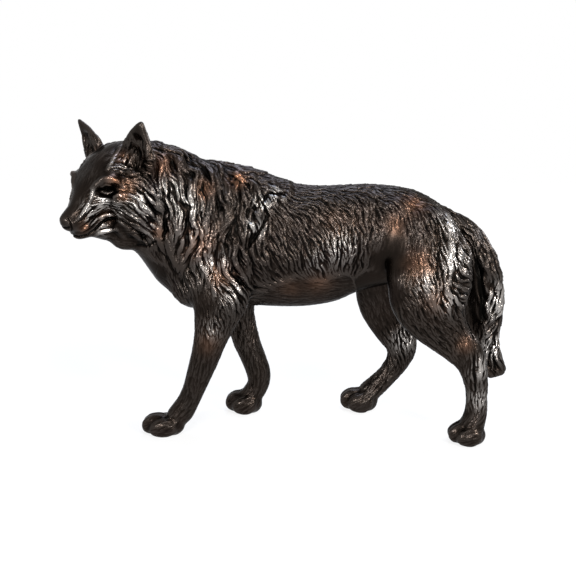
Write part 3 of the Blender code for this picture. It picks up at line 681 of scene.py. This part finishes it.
@dataclass
class CarvedCoat:
    """The coat: how it lies everywhere, and the locks, hairs and strokes cut along it.

    The fields hold, in metres, the sizes of the hairs and the reach of the guides. A grain is the
    share of chance in a size, a cover says how many times over the surface is covered, and
    points says how many each lock or hair has. A slope says in how small a share of its length
    a lock rises from its root or falls at its tip, and a stroke fades at its ends in the same
    way. What faces away from a lock or a stroke is left as it is.
    """

    surface: Surface
    camera: PhotoCamera
    hair_length: float = 17 * MM
    hair_width: float = 3.3 * MM
    guide_blur: float = 9 * MM
    sway_long: float = math.radians(22)
    sway_short: float = math.radians(7)
    sway_size: float = 34 * MM
    tall: float = 3 * MM
    least_height: float = 0.08 * MM
    lock_grain: float = 0.22
    lock_cover: float = 1.7
    lock_points: int = 14
    hair_grain: float = 0.3
    hair_cover: float = 1.8
    hair_points: int = 9
    root_height: float = 0.25
    root_slope: float = 7.0
    tip_slope: float = 9.0
    least_facing: float = 0.1
    stroke_fade: float = 6.0

    def __post_init__(self) -> None:
        """Spread the guides over the surface and set up the random draws."""
        self.draws = np.random.default_rng(SEED)
        self.height = np.zeros(len(self.surface.points))
        self.lie, self.coat = self.spread()

    def copies(self, place: np.ndarray, lie: np.ndarray, side: Side) -> Iterator[tuple]:
        """Give a guide's place and lie, and those of its mirror image where it has one."""
        yield place, lie
        if side in MIRRORS:
            yield MIRRORS[side].place(place), MIRRORS[side].turn(lie)

    def spread(self) -> tuple[np.ndarray, np.ndarray]:
        """Spread the guides' lie and coat over the surface, weighted by distance.

        Returns:
            The lie of the coat at each vertex, along the surface, and its sizes in metres.
        """
        places, lies, coats = [], [], []
        for guide in GUIDES:
            place = self.surface.seen(self.camera, guide.at)
            if place is None:
                LOG.warning("guide at %s misses the casting", guide.at)
                continue
            for spot, lie in self.copies(place, self.camera.lay(guide.lie), guide.side):
                places.append(spot)
                lies.append(lie)
                coats.append(guide.coat.value)
        places, lies, coats = np.array(places), np.array(lies), np.array(coats) * MM
        points, normals = self.surface.points, self.surface.normals
        blocks = []
        for part in np.array_split(points, 16):
            near = ((part[:, None] - places[None]) ** 2).sum(2) + self.guide_blur ** 2
            weight = 1 / (near ** 2 * np.sqrt(near))
            blocks.append(weight / weight.sum(1, keepdims=True) @ np.hstack((lies, coats)))
        blended = np.vstack(blocks)
        lie, coat = blended[:, :3], blended[:, 3:]
        lie = unit(lie - (lie * normals).sum(1)[:, None] * normals)
        tall = np.clip(coat[:, 2] / self.tall, 0, 1)
        sway = self.sway_short + (self.sway_long - self.sway_short) * tall
        angle = (sway * self.waves(points / self.sway_size))[:, None]
        return unit(lie * np.cos(angle) + cross(normals, lie) * np.sin(angle)), coat

    def waves(self, at: np.ndarray) -> np.ndarray:
        """Give a smooth, seeded, wandering value from about -1 to 1 at each place."""
        made = np.zeros(len(at))
        turns = np.random.default_rng(SEED)
        for _ in range(7):
            way = unit(turns.normal(size=3)) * turns.uniform(0.8, 2.4)
            made += np.sin(at @ way * 2 * math.pi / 1.6 + turns.uniform(0, 2 * math.pi))
        return made / 2.6

    def roots(self, length: np.ndarray, width: np.ndarray, height: np.ndarray, cover: float) -> np.ndarray:
        """Choose the vertices where locks start, so that together they cover the surface.

        Args:
            length: the locks' length at each vertex.
            width: their width at each vertex.
            height: their height at each vertex; none starts where there is next to none.
            cover: how many times over the locks cover the surface.

        Returns:
            The indices of the vertices, in a seeded order.
        """
        order = self.draws.permutation(len(height))
        order = order[height[order] > self.least_height]
        spacing = np.sqrt(length[order] * width[order] / cover)
        level = np.round(np.log2(spacing / MM) * 3)
        cell = np.floor(self.surface.points[order] / (2 ** (level / 3) * MM)[:, None])
        _, first = np.unique(np.c_[cell, level], axis=0, return_index=True)
        return order[np.sort(first)]

    def trace(self, roots: np.ndarray, step: np.ndarray, count: int, bend: np.ndarray) -> tuple:
        """Follow the lie of the coat from each root to its tip, all locks together.

        Args:
            roots: the vertices where the locks start.
            step: the distance between the points of each lock.
            count: how many points each lock has.
            bend: an angle that turns each lock more and more to one side.

        Returns:
            The places, directions and normals of the points, each as locks by points by 3.
        """
        place = self.surface.points[roots]
        places, ways, normals = [], [], []
        for i in range(count):
            index = self.surface.nearest(place)
            normal = self.surface.normals[index]
            off = ((place - self.surface.points[index]) * normal).sum(1)
            place = place - off[:, None] * normal
            angle = (bend * (i / count - 0.3))[:, None]
            way = self.lie[index]
            way = way * np.cos(angle) + cross(normal, way) * np.sin(angle)
            places.append(place)
            ways.append(way)
            normals.append(normal)
            place = place + way * step[:, None]
        return np.stack(places, 1), np.stack(ways, 1), np.stack(normals, 1)

    def raise_locks(
        self, paths: tuple, step: np.ndarray, width: np.ndarray, height: np.ndarray
    ) -> np.ndarray:
        """Raise locks along their paths: each widens, rises to its tip, and ends in a point.

        Args:
            paths: what trace gave.
            step: the distance between the points of each lock.
            width: each lock's greatest width.
            height: its height near the tip.

        Returns:
            The height raised at each vertex, the highest where locks lie over each other.
        """
        places, ways, normals = paths
        raised = np.zeros(len(self.surface.points))
        count = places.shape[1]
        for i in range(count):
            lock, index = self.surface.around(places[:, i], np.maximum(width * 0.52, step * 0.8))
            reach = self.surface.points[index] - places[lock, i]
            ahead = (reach * ways[lock, i]).sum(1) / step[lock]
            aside = (reach * cross(normals[lock, i], ways[lock, i])).sum(1)
            facing = (self.surface.normals[index] * normals[lock, i]).sum(1)
            share = np.clip((i + ahead) / (count - 1), 0, 1)
            wide = np.sin(math.pi * np.clip(share, 0.02, 0.98) ** 0.8) ** 0.6
            across = np.clip(np.abs(aside) / (wide * width[lock] / 2), 0, 1)
            rise = self.root_height + (1 - self.root_height) * share
            rise = rise * np.clip((1 - share) * self.tip_slope, 0, 1)
            rise = rise * np.clip(share * self.root_slope, 0, 1)
            dome = (1 - across ** 2) ** 0.8
            keep = (facing > self.least_facing) & (np.abs(ahead) < 0.8)
            np.maximum.at(raised, index[keep], (height[lock] * rise * dome)[keep])
        return raised

    def comb(self, sizes: Sequence[np.ndarray], grain: float, cover: float, count: int) -> np.ndarray:
        """Cover the surface with locks of the sizes that each place asks for.

        Args:
            sizes: the locks' length, width and height at each vertex.
            grain: the share of chance in each lock's size.
            cover: how many times over the locks cover the surface.
            count: how many points each lock has.

        Returns:
            The heights that the locks raise at each vertex.
        """
        roots = self.roots(*sizes, cover)
        chance = self.draws.uniform(1 - grain, 1 + grain, (3, len(roots)))
        length, width, height = (size[roots] * by for size, by in zip(sizes, chance))
        bend = self.draws.uniform(-grain, grain, len(roots)) * 1.2
        step = length / (count - 1)
        paths = self.trace(roots, step, count, bend)
        LOG.info("combed %d locks", len(roots))
        return self.raise_locks(paths, step, width, height)

    def line(self, points: Line) -> np.ndarray:
        """Lay a line of the photograph on the surface, at about one point a pixel.

        Args:
            points: the line's corners.

        Returns:
            Places on the surface, one a row, without those that miss it.
        """
        places = []
        for a, b in zip(points, points[1:]):
            count = max(2, round(math.dist(a, b)))
            for t in np.arange(count) / count:
                pixel = (a[0] + (b[0] - a[0]) * t, a[1] + (b[1] - a[1]) * t)
                place = self.surface.seen(self.camera, pixel)
                if place is not None:
                    places.append(place)
        return np.array(places)

    def stroke(self, stroke: Stroke) -> None:
        """Cut or raise one line of the carver, and its mirror image where it has one.

        Args:
            stroke: the line; a height below zero cuts it.
        """
        line = self.line(stroke.points)
        if len(line) < 3:
            LOG.warning("stroke from %s misses the casting", stroke.points[0])
            return
        lines = [line]
        if stroke.side in MIRRORS:
            lines.append(MIRRORS[stroke.side].place(line))
        half = stroke.width * MM / 2
        for line in lines:
            first = self.surface.nearest(line)
            normals = self.surface.normals[first]
            line = line - ((line - self.surface.points[first]) * normals).sum(1)[:, None] * normals
            _, index = self.surface.around(line, np.full(len(line), half * 2))
            index = np.unique(index)
            reach = self.surface.points[index][:, None] - line[None]
            apart = (reach ** 2).sum(2)
            close = apart.argmin(1)
            share = close / (len(line) - 1)
            facing = (self.surface.normals[index] * normals[close]).sum(1) > self.least_facing
            end = np.clip(np.minimum(share, 1 - share) * self.stroke_fade, 0, 1)
            form = np.exp(-apart[np.arange(len(index)), close] / half ** 2 * 1.4)
            self.height[index] += stroke.height * MM * form * end * facing

    def wear_and_highlight(self, rubs_and_highlights: Sequence[RubAndHighlight], least: float) -> np.ndarray:
        """Give how far each place is rubbed, or how strongly it takes a painted highlight, from 0 to about
        1, with soft edges.

        Args:
            rubs_and_highlights: the places that are rubbed, for the copper, or painted with highlights,
                for the pale crests.
            least: how far everything is rubbed, or painted with highlights.

        Returns:
            One number a vertex.
        """
        made = np.full(len(self.surface.points), least)
        for rub in rubs_and_highlights:
            place = self.surface.seen(self.camera, rub.at)
            if place is None:
                continue
            for spot, _ in self.copies(place, place, rub.side):
                away = ((self.surface.points - spot) ** 2).sum(1)
                made += rub.strength * np.exp(-away / (rub.radius * MM) ** 2)
        return made

    def carve(self) -> None:
        """Comb the locks and the hairs, and cut the strokes."""
        length, width, height, hair = self.coat.T
        sizes = (length, width, height)
        locks = self.comb(sizes, self.lock_grain, self.lock_cover, self.lock_points)
        whole = np.ones(len(self.surface.points))
        sizes = (whole * self.hair_length, whole * self.hair_width, hair)
        hairs = self.comb(sizes, self.hair_grain, self.hair_cover, self.hair_points)
        self.height += locks + hairs
        for stroke in STROKES:
            self.stroke(stroke)


@dataclass(frozen=True)
class Section:
    """One section of the casting, cut off the rest by upright or tilted planes."""

    name: str
    front: Optional[Cut]
    rear: Optional[Cut]


# A point on each cut's plane, and the way that the plane faces, towards the tail
NECK_CUT = ((-0.173, 0.0, 0.355), (0.92, 0.0, -0.39))
CHEST_CUT = ((-0.105, 0.0, 0.0), (1.0, 0.0, 0.0))
CAPE_CUT = ((-0.02, 0.0, 0.0), (1.0, 0.0, 0.0))
LOIN_CUT = ((0.1, 0.0, 0.0), (1.0, 0.0, 0.0))
RUMP_CUT = ((0.235, 0.0, 0.0), (1.0, 0.0, 0.0))
SECTIONS = (
    Section("carved_head", None, NECK_CUT),
    Section("carved_neck_and_foreleg", NECK_CUT, CHEST_CUT),
    Section("carved_shoulders", CHEST_CUT, CAPE_CUT),
    Section("carved_barrel", CAPE_CUT, LOIN_CUT),
    Section("carved_thighs", LOIN_CUT, RUMP_CUT),
    Section("carved_rump_and_tail", RUMP_CUT, None),
)


@dataclass(frozen=True)
class PatinatedBronze:
    """Cast bronze under a glossy dark brown patina, waxed, and rubbed to copper on what stands up.

    It gives the eye near-black hollows, dark patina deepened as painted shade, brown swells, copper where
    it is rubbed, and painted highlights: crests painted pale and made glossier, with small hard highlights
    on the hair. The grain is coarser than real.
    """

    # the hollows' near black: dark patina, deepened as painted shade
    dark: str = "#080706"
    brown: str = "#231f1c"
    rubbed: str = "#755440"
    # pale colour of the painted highlights on the crests
    painted_highlight_colour: str = "#9c9894"
    roughness: float = 0.26
    highlight_roughness: float = 0.2
    metallic: float = 0.95
    dark_up_to: float = 0.15
    brown_from: float = 0.75
    crest_from: float = 0.5
    crest_full: float = 0.95
    rub_gain: float = 1.5
    cloud: float = 45 * MM
    grain: float = 2.2 * MM
    pitting: float = 0.35
    pit_depth: float = 0.25 * MM
    edge: tuple[float, float, float, float] = (0.6, 0.6, 0.6, 1.0)

    def build(self) -> bpy.types.Material:
        """Make the material."""
        material = bpy.data.materials.new("patinated_bronze")
        material.use_nodes = True
        tree = material.node_tree
        tree.nodes.clear()
        raised = node(tree, "ShaderNodeAttribute", {"attribute_name": "raised"}, {}).outputs["Fac"]
        wear_and_highlight = node(tree, "ShaderNodeAttribute", {"attribute_name": "wear_and_highlight"}, {}).outputs["Fac"]
        painted_highlight = node(tree, "ShaderNodeAttribute", {"attribute_name": "painted_highlight"}, {}).outputs["Fac"]
        place = node(tree, "ShaderNodeTexCoord", {}, {}).outputs["Object"]
        cloudy = {"Scale": 1 / self.cloud, "Detail": 3.0}
        cloud = node(tree, "ShaderNodeTexNoise", cloudy, {"Vector": place}).outputs["Fac"]
        # Painted shade over the dark patina: the lower a place lies, the nearer black it is painted
        ramp = node(tree, "ShaderNodeValToRGB", {}, {"Fac": raised})
        tones = ((self.dark_up_to, self.dark), (self.brown_from, self.brown))
        for stop, (at, tone) in zip(ramp.color_ramp.elements, tones):
            stop.position = at
            stop.color = linear(tone)
        # Painted highlight: crests in the painted highlight patches are mixed towards a pale colour and
        # made glossier
        steps = {1: self.crest_from, 2: self.crest_full, "interpolation_type": "SMOOTHSTEP"}
        crest = node(tree, "ShaderNodeMapRange", steps, {0: raised}).outputs[0]
        clamped = {"operation": "MULTIPLY", "use_clamp": True}
        bright = node(tree, "ShaderNodeMath", clamped, {0: crest, 1: painted_highlight}).outputs[0]
        highlight_mix = {"data_type": "RGBA", 7: linear(self.painted_highlight_colour)}
        colour = node(tree, "ShaderNodeMix", highlight_mix, {0: bright, 6: ramp.outputs["Color"]}).outputs[2]
        rub = node(tree, "ShaderNodeMath", {"operation": "MULTIPLY"}, {0: wear_and_highlight, 1: raised}).outputs[0]
        rub = node(tree, "ShaderNodeMath", {"operation": "MULTIPLY"}, {0: cloud, 1: rub}).outputs[0]
        rub = node(tree, "ShaderNodeMath", {**clamped, 1: self.rub_gain}, {0: rub}).outputs[0]
        copper = {"data_type": "RGBA", 7: linear(self.rubbed)}
        colour = node(tree, "ShaderNodeMix", copper, {0: rub, 6: colour}).outputs[2]
        waxed = {3: self.roughness, 4: self.highlight_roughness}
        gloss = node(tree, "ShaderNodeMapRange", waxed, {0: bright}).outputs[0]
        grainy = {"Scale": 1 / self.grain, "Detail": 2.0}
        skin = node(tree, "ShaderNodeTexNoise", grainy, {"Vector": place}).outputs["Fac"]
        pitted = {"Strength": self.pitting, "Distance": self.pit_depth}
        bump = node(tree, "ShaderNodeBump", pitted, {"Height": skin}).outputs[0]
        shader = node(
            tree,
            "ShaderNodeBsdfPrincipled",
            {"Metallic": self.metallic, "Specular IOR Level": 0.2, "Specular Tint": self.edge},
            {"Base Color": colour, "Roughness": gloss, "Normal": bump},
        )
        node(tree, "ShaderNodeOutputMaterial", {}, {"Surface": shader.outputs[0]})
        return material


@dataclass
class CarvedCasting:
    """The statue's one casting, dressed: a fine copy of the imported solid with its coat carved.

    Lengths are in metres. The sections are one casting cut by planes, so that each stays
    light enough to handle; their surfaces meet without a gap. The finish reads how far each
    place is raised: the middle is the share of the coat's height that counts as halfway, and
    the swelling values say how much the form under the coat adds.
    """

    camera: PhotoCamera
    finish: PatinatedBronze
    voxel: float = 1.1 * MM
    quick_voxel: float = 2.2 * MM
    form_voxel: float = 1.7 * MM
    smooth_rounds: int = 3
    ease_rounds: int = 70
    swelling_rounds: int = 60
    sink: float = 0.8 * MM
    sole: float = 6 * MM
    # a little copper rub, and a little painted highlight, everywhere
    least_wear_and_highlight: float = 0.05
    middle: float = 0.36
    plain_relief: float = 1.1 * MM
    swelling_span: float = 0.9 * MM
    swelling_share: float = 0.45
    most_triangles: int = 166_000

    def rounded_copy(self) -> bpy.types.Object:
        """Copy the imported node, round its facets, and give it an even fine mesh."""
        shape = bmesh.new()
        shape.from_mesh(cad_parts[CASTING].data)
        bmesh.ops.remove_doubles(shape, verts=shape.verts, dist=0.01 * MM)
        mesh = bpy.data.meshes.new("carved_casting")
        shape.to_mesh(mesh)
        shape.free()
        copy = stand("carved_casting", mesh)
        work(copy, "SUBSURF", levels=2, render_levels=2)
        self.settle(copy)
        self.form(copy)
        work(copy, "REMESH", mode="VOXEL", voxel_size=self.form_voxel)
        self.settle(copy)
        self.blend(copy)
        voxel = self.voxel
        work(copy, "REMESH", mode="VOXEL", voxel_size=voxel, use_smooth_shade=True)
        work(copy, "SMOOTH", factor=0.5, iterations=self.smooth_rounds)
        self.settle(copy)
        return copy

    def blend(self, copy: bpy.types.Object) -> None:
        """Work the casting's hard creases soft at the places that ask for it.

        Args:
            copy: the copy of the casting, with an even mesh.
        """
        surface = Surface.of(copy.data)
        weight = np.zeros(len(surface.points))
        for blend in BLENDS:
            for spot, _, _ in self.spots(surface, blend.at, (1, 0), blend.side):
                away = ((surface.points - spot) ** 2).sum(1) / (blend.radius * MM) ** 2
                weight = np.maximum(weight, np.clip(1.6 - 1.2 * away, 0, 1))
        near = copy.vertex_groups.new(name="near")
        for index in np.flatnonzero(weight):
            near.add([int(index)], float(weight[index]), "REPLACE")
        work(copy, "SMOOTH", factor=0.5, iterations=self.ease_rounds, vertex_group=near.name)
        self.settle(copy)
        copy.vertex_groups.clear()

    def form(self, copy: bpy.types.Object) -> None:
        """Press the hollows into the copy and lay the swells on it, both sides alike.

        Args:
            copy: the rounded copy of the casting.
        """
        surface = Surface.of(copy.data)
        points = surface.points.copy()
        for hollow in HOLLOWS:
            for spot, normal, _ in self.spots(surface, hollow.at, (1, 0), hollow.side):
                away = ((surface.points - spot) ** 2).sum(1)
                facing = np.clip(surface.normals @ normal, 0, 1)
                press = hollow.depth * MM * np.exp(-away / (hollow.radius * MM) ** 2) * facing
                points -= press[:, None] * normal
        copy.data.vertices.foreach_set("co", points.astype(np.float32).ravel())
        shape = bmesh.new()
        shape.from_mesh(copy.data)
        for swell in SWELLS:
            for spot, normal, lie in self.spots(surface, swell.at, swell.lie, swell.side):
                middle = spot - normal * swell.sunk * MM
                aside = np.cross(normal, lie)
                axes = (lie * swell.long, aside * swell.wide, normal * swell.thick)
                turn = Matrix((np.stack(axes, 1) * MM).tolist()).to_4x4()
                turn.translation = middle
                bmesh.ops.create_icosphere(shape, subdivisions=3, radius=1.0, matrix=turn)
        shape.to_mesh(copy.data)
        shape.free()

    def spots(self, surface: Surface, at: Pixel | Place, lie: Pixel, side: Side) -> Iterator[tuple]:
        """Give a place of the photograph on the form, and its mirror image where it has one.

        Args:
            surface: the form.
            at: the place in the photograph, or on the far side one in metres.
            lie: a direction in the photograph.
            side: what it is mirrored about.

        Returns:
            For each, the place, the surface's normal there, and the direction along it.
        """
        if len(at) == 3:
            yield np.array(at), np.array((0.0, 1.0, 0.0)), unit(np.array((lie[0], 0.0, -lie[1])))
            return
        place = surface.seen(self.camera, at)
        if place is None:
            LOG.warning("form at %s misses the casting", at)
            return
        normal = surface.normals[surface.nearest(place[None])[0]]
        way = self.camera.lay(lie)
        way = unit(way - (way @ normal) * normal)
        yield place, normal, way
        if side in MIRRORS:
            mirror = MIRRORS[side]
            yield mirror.place(place), mirror.turn(normal), mirror.turn(way)

    @staticmethod
    def settle(thing: bpy.types.Object) -> None:
        """Replace an object's mesh by what its modifiers make of it."""
        graph = bpy.context.evaluated_depsgraph_get()
        made = bpy.data.meshes.new_from_object(thing.evaluated_get(graph))
        old = thing.data
        thing.modifiers.clear()
        thing.data = made
        bpy.data.meshes.remove(old)

    def carved(self, copy: bpy.types.Object) -> None:
        """Carve the coat into the fine mesh and keep what the finish reads at each vertex.

        Args:
            copy: the copy of the casting, with its fine mesh.
        """
        mesh = copy.data
        surface = Surface.of(mesh)
        LOG.info("fine mesh of %d vertices", len(surface.points))
        coat = CarvedCoat(surface, self.camera)
        coat.carve()
        lift = coat.height - self.sink * np.clip(coat.coat[:, 2] / 1e-3, 0, 1)
        moved = surface.points + surface.normals * lift[:, None]
        moved[:, 2] = np.where(surface.points[:, 2] < self.sole, surface.points[:, 2], moved[:, 2])
        moved[:, 2] = np.maximum(moved[:, 2], 0)
        mesh.vertices.foreach_set("co", moved.astype(np.float32).ravel())
        mesh.update()
        tall = coat.coat[:, 2] + coat.coat[:, 3]
        # How far each place is raised, lower still where it sinks below the form around it; the finish
        # paints the low places dark as painted shade over the dark patina
        raised = 0.5 + (coat.height - self.middle * tall) / (self.plain_relief + tall)
        stands_out = self.swelling(copy, surface.normals) / self.swelling_span
        raised += self.swelling_share * np.clip(stands_out, -1, 1)
        self.note(mesh, "raised", np.clip(raised, 0, 1))
        self.note(mesh, "wear_and_highlight", coat.wear_and_highlight(RUBS, self.least_wear_and_highlight))
        # Painted highlight: the crests at these places are painted pale where highlights fall
        self.note(mesh, "painted_highlight", coat.wear_and_highlight(PAINTED_HIGHLIGHTS, self.least_wear_and_highlight))

    def swelling(self, copy: bpy.types.Object, normals: np.ndarray) -> np.ndarray:
        """Give how far each place stands out from the form around it, below zero in hollows.

        Args:
            copy: the carved copy of the casting.
            normals: the surface's normals before it was carved.

        Returns:
            Metres, one number a vertex.
        """
        easy = stand("eased", copy.data.copy())
        work(easy, "SMOOTH", factor=0.5, iterations=self.swelling_rounds)
        self.settle(easy)
        apart = vectors(copy.data.vertices, "co") - vectors(easy.data.vertices, "co")
        bpy.data.objects.remove(easy)
        return (apart * normals).sum(1)

    @staticmethod
    def note(mesh: bpy.types.Mesh, name: str, values: np.ndarray) -> None:
        """Keep one number at each vertex for the finish to read."""
        kept = mesh.attributes.new(name, "FLOAT", "POINT")
        kept.data.foreach_set("value", values.astype(np.float32))

    def section(self, copy: bpy.types.Object, section: Section) -> bpy.types.Object:
        """Cut one section off the carved casting, close it, and keep it light.

        Args:
            copy: the whole carved casting.
            section: the section's name and cuts.

        Returns:
            The section as an object of its own.
        """
        shape = bmesh.new()
        shape.from_mesh(copy.data)
        rim: set[bmesh.types.BMVert] = set()
        for cut, inside in ((section.front, 1), (section.rear, -1)):
            if cut is None:
                continue
            parts = shape.verts[:] + shape.edges[:] + shape.faces[:]
            facing = Vector(cut[1]) * inside
            made = bmesh.ops.bisect_plane(
                shape, geom=parts, dist=1e-7, plane_co=cut[0], plane_no=facing, clear_inner=True
            )
            edges = [e for e in made["geom_cut"] if isinstance(e, bmesh.types.BMEdge)]
            rim.update(v for e in edges for v in e.verts)
            closed = bmesh.ops.triangle_fill(shape, edges=edges, use_beauty=False)
            for part in closed["geom"]:
                if isinstance(part, bmesh.types.BMFace):
                    part.smooth = False
        bmesh.ops.triangulate(shape, faces=shape.faces[:])
        bmesh.ops.recalc_face_normals(shape, faces=shape.faces[:])
        shape.verts.index_update()
        mesh = bpy.data.meshes.new(section.name)
        shape.to_mesh(mesh)
        piece = stand(section.name, mesh)
        if len(shape.faces) > self.most_triangles:
            hold = piece.vertex_groups.new(name="free")
            hold.add(range(len(shape.verts)), 1.0, "REPLACE")
            hold.remove([v.index for v in rim])
            share = self.most_triangles / len(shape.faces)
            work(piece, "DECIMATE", ratio=share, vertex_group=hold.name)
            self.settle(piece)
            piece.vertex_groups.clear()
        shape.free()
        LOG.info("%s: %d triangles", section.name, len(piece.data.polygons))
        return piece

    def build(self) -> list[bpy.types.Object]:
        """Carve the casting and dress its sections."""
        copy = self.rounded_copy()
        self.carved(copy)
        bronze = self.finish.build()
        pieces = [self.section(copy, section) for section in SECTIONS]
        bpy.data.objects.remove(copy)
        for piece in pieces:
            piece.data.materials.clear()
            piece.data.materials.append(bronze)
            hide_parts(CASTING)
            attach(piece, "root")
        return pieces


STATUE_MIDDLE = (0.0, 0.0, 0.25)


@dataclass(frozen=True)
class Lamp:
    """One soft square lamp that faces the statue's middle; metres and watts."""

    name: str
    place: Place
    side: float
    watts: float
    colour: str = "#ffffff"

    def hang(self) -> None:
        """Put the lamp into the scene."""
        data = bpy.data.lights.new(self.name, "AREA")
        data.shape, data.size, data.energy = "SQUARE", self.side, self.watts
        data.color = linear(self.colour)[:3]
        made = stand(self.name, data)
        made.location = self.place
        toward = Vector(STATUE_MIDDLE) - Vector(self.place)
        made.rotation_euler = toward.to_track_quat("-Z", "Y").to_euler()


LAMPS = (
    Lamp("right_lamp", (1.25, -1.45, 0.95), 0.36, 26.0, "#fffaf4"),
    Lamp("left_lamp", (-0.95, -1.75, 0.7), 0.32, 16.0),
    Lamp("high_lamp", (0.3, -1.2, 1.8), 0.36, 16.0),
    Lamp("low_lamp", (0.35, -2.0, 0.25), 0.34, 12.0),
    Lamp("rear_lamp", (1.6, 0.6, 0.9), 0.4, 20.0, "#f4f8ff"),
    Lamp("top_lamp", (0.0, 0.7, 2.2), 1.2, 38.0, "#cfe0ff"),
)


@dataclass(frozen=True)
class Studio:
    """A plain pale floor under soft studio light, with a white ground behind the statue.

    The floor's glow, which only the camera and reflections see, grows from the near distance
    to the far one, so that the statue's shadow stays.
    """

    floor_side: float = 6.0
    paper: str = "#f2f2f2"
    plain_light: float = 0.15
    glow: float = 1.04
    near_glow: float = 0.82
    near: float = 0.5
    far: float = 1.5

    def surroundings(self, tree: bpy.types.NodeTree) -> None:
        """Make the world white to the camera and in reflections, and plain grey as light."""
        tree.nodes.clear()
        white = node(tree, "ShaderNodeBackground", {"Color": WHITE, "Strength": 1.0}, {})
        grey = node(tree, "ShaderNodeBackground", {"Color": WHITE, "Strength": self.plain_light}, {})
        shaders = {0: looked_at(tree), 1: grey.outputs[0], 2: white.outputs[0]}
        mixed = node(tree, "ShaderNodeMixShader", {}, shaders)
        node(tree, "ShaderNodeOutputWorld", {}, {"Surface": mixed.outputs[0]})

    def floor(self) -> bpy.types.Object:
        """Make the floor: near white to the camera, with the statue's shadow kept."""
        shape = bmesh.new()
        bmesh.ops.create_grid(shape, x_segments=1, y_segments=1, size=self.floor_side / 2)
        mesh = bpy.data.meshes.new("floor")
        shape.to_mesh(mesh)
        shape.free()
        made = stand("floor", mesh)
        material = bpy.data.materials.new("pale_studio_floor")
        material.use_nodes = True
        tree = material.node_tree
        tree.nodes.clear()
        paper = node(tree, "ShaderNodeBsdfDiffuse", {"Color": linear(self.paper)}, {})
        glow = node(tree, "ShaderNodeEmission", {"Color": WHITE, "Strength": self.glow}, {})
        place = node(tree, "ShaderNodeTexCoord", {}, {}).outputs["Object"]
        away = node(tree, "ShaderNodeVectorMath", {"operation": "LENGTH"}, {0: place})
        fade = {1: self.near, 2: self.far, 3: self.near_glow, 4: 1.0}
        fades = node(tree, "ShaderNodeMapRange", fade, {0: away.outputs["Value"]})
        parts = {0: looked_at(tree), 1: fades.outputs[0]}
        share = node(tree, "ShaderNodeMath", {"operation": "MULTIPLY"}, parts)
        shaders = {0: share.outputs[0], 1: paper.outputs[0], 2: glow.outputs[0]}
        mixed = node(tree, "ShaderNodeMixShader", {}, shaders)
        node(tree, "ShaderNodeOutputMaterial", {}, {"Surface": mixed.outputs[0]})
        mesh.materials.append(material)
        return made

    def build(self) -> None:
        """Set up the world, the floor and the lamps."""
        scene = bpy.context.scene
        scene.world = bpy.data.worlds.new("white_ground")
        scene.world.use_nodes = True
        self.surroundings(scene.world.node_tree)
        self.floor()
        for lamp in LAMPS:
            lamp.hang()
        scene.view_settings.view_transform = "Standard"


def main() -> None:
    """Build the camera, the dressed casting and the studio, and report each piece."""
    logging.basicConfig(level=logging.INFO, format="%(name)s: %(message)s")
    camera = PhotoCamera()
    camera.build()
    for piece in CarvedCasting(camera, PatinatedBronze()).build():
        LOG.info("dressed %s", piece.name)
    Studio().build()


if __name__ == "__main__":
    main()
